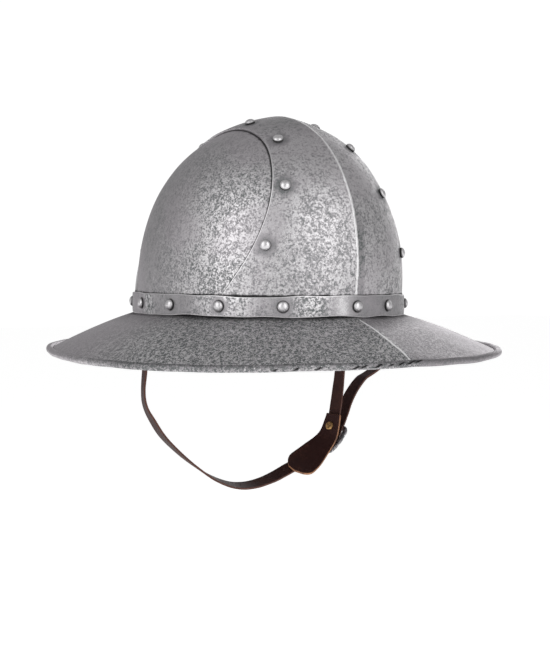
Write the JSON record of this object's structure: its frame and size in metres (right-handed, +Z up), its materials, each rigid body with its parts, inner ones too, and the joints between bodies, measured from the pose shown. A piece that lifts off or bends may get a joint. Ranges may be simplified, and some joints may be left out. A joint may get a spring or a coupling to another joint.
{
  "type": "kettle hat",
  "caption": "Riveted steel kettle hat: a domed skull of side plates under a keeled overlay plate, a riveted band, a wide sloping brim with a rolled edge and a buckled leather chin strap.",
  "frame": {"origin": "middle of the head opening at brow height, at the foot of the skull, where the head holds the hat", "axes": "+Z up through the crown, -Y the way the wearer faces, +X the wearer's left, where the buckle is"},
  "size_m": [0.349, 0.3594, 0.3019],
  "materials": {
    "antiqued_steel": "antiqued, mottled grey",
    "polished_steel": "semi-bright",
    "brown_leather": "matt, dark brown",
    "brass": "dull"
  },
  "bodies": {
    "root": {"overlay_plate": "antiqued_steel", "side_plate_right": "antiqued_steel", "side_plate_left": "antiqued_steel", "band": "antiqued_steel", "brim": "antiqued_steel", "arch_rivet_right_1": "polished_steel", "arch_rivet_right_2": "polished_steel", "arch_rivet_right_3": "polished_steel", "arch_rivet_right_4": "polished_steel", "arch_rivet_right_5": "polished_steel", "arch_rivet_right_6": "polished_steel", "arch_rivet_right_7": "polished_steel", "arch_rivet_left_1": "polished_steel", "arch_rivet_left_2": "polished_steel", "arch_rivet_left_3": "polished_steel", "arch_rivet_left_4": "polished_steel", "arch_rivet_left_5": "polished_steel", "arch_rivet_left_6": "polished_steel", "arch_rivet_left_7": "polished_steel", "band_rivet_front": "polished_steel", "band_rivet_back": "polished_steel", "band_rivet_right_1": "polished_steel", "band_rivet_right_2": "polished_steel", "band_rivet_right_3": "polished_steel", "band_rivet_right_4": "polished_steel", "band_rivet_right_5": "polished_steel", "band_rivet_right_6": "polished_steel", "band_rivet_left_1": "polished_steel", "band_rivet_left_2": "polished_steel", "band_rivet_left_3": "polished_steel", "band_rivet_left_4": "polished_steel", "band_rivet_left_5": "polished_steel", "band_rivet_left_6": "polished_steel", "chin_strap_long": "brown_leather", "chin_strap_short": "brown_leather", "buckle_pad": "brown_leather", "buckle_frame": "polished_steel", "buckle_prong": "polished_steel", "pad_rivet": "brass"}
  },
  "joints": []
}
